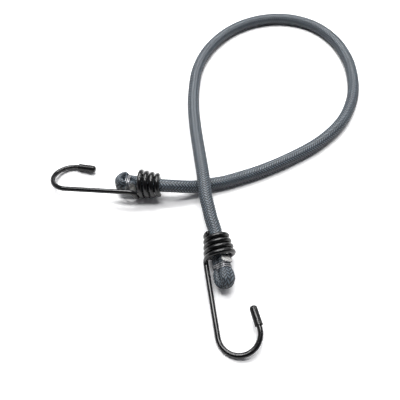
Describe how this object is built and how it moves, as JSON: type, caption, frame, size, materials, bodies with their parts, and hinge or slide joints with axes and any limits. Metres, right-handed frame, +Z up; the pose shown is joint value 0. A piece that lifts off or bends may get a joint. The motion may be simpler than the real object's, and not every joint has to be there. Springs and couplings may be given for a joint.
{
  "type": "bungee cord",
  "caption": "Elastic cord in a braided sheath with a swivelling coated wire hook on each end, lying slack in an open loop that crosses over itself.",
  "frame": {"origin": "On the surface that the cord lies on, in the middle of the box round the two hooked ends", "axes": "+Z up from the surface, +Y away from the front hook towards the far side of the loop, +X to the right, with the left hook pointing along -X"},
  "size_m": [0.2072, 0.2708, 0.0184],
  "materials": {
    "sheath": "tightly braided grey polyester yarn",
    "rubber": "matt off-white latex",
    "hook": "glossy black coating over spring steel wire",
    "cap": "dipped black vinyl",
    "tie": "bright fine wire"
  },
  "bodies": {
    "cord": {"sheath": "sheath", "core_strand_1": "rubber", "core_strand_2": "rubber", "core_strand_3": "rubber", "core_strand_4": "rubber", "core_strand_5": "rubber", "core_strand_6": "rubber", "core_strand_7": "rubber", "front_fold": "sheath", "front_fold_core": "rubber", "front_tie": "tie"},
    "left_cord_end": {"left_fold": "sheath", "left_fold_core": "rubber", "left_tie": "tie"},
    "left_hook_unit": {"left_hook": "hook", "left_tip_cap": "cap"},
    "front_hook_unit": {"front_hook": "hook", "front_tip_cap": "cap"}
  },
  "joints": [
    {"name": "cord_stretch", "type": "slide", "parent": "cord", "child": "left_cord_end", "axis": [-0.9914, 0.1305, 0], "range_m": [0, 0.24], "stiffness_N_per_m": 290, "deforming": ["sheath", "core_strand_1", "core_strand_2", "core_strand_3", "core_strand_4", "core_strand_5", "core_strand_6", "core_strand_7"]},
    {"name": "left_hook_swivel", "type": "hinge", "parent": "left_cord_end", "child": "left_hook_unit", "pos_m": [-0.008, 0.0423, 0.00919], "axis": [0.9889, -0.1302, 0.0715], "continuous": true},
    {"name": "front_hook_swivel", "type": "hinge", "parent": "cord", "child": "front_hook_unit", "pos_m": [0.0414, -0.0075, 0.00892], "axis": [0.1707, -0.9782, -0.1184], "continuous": true}
  ]
}
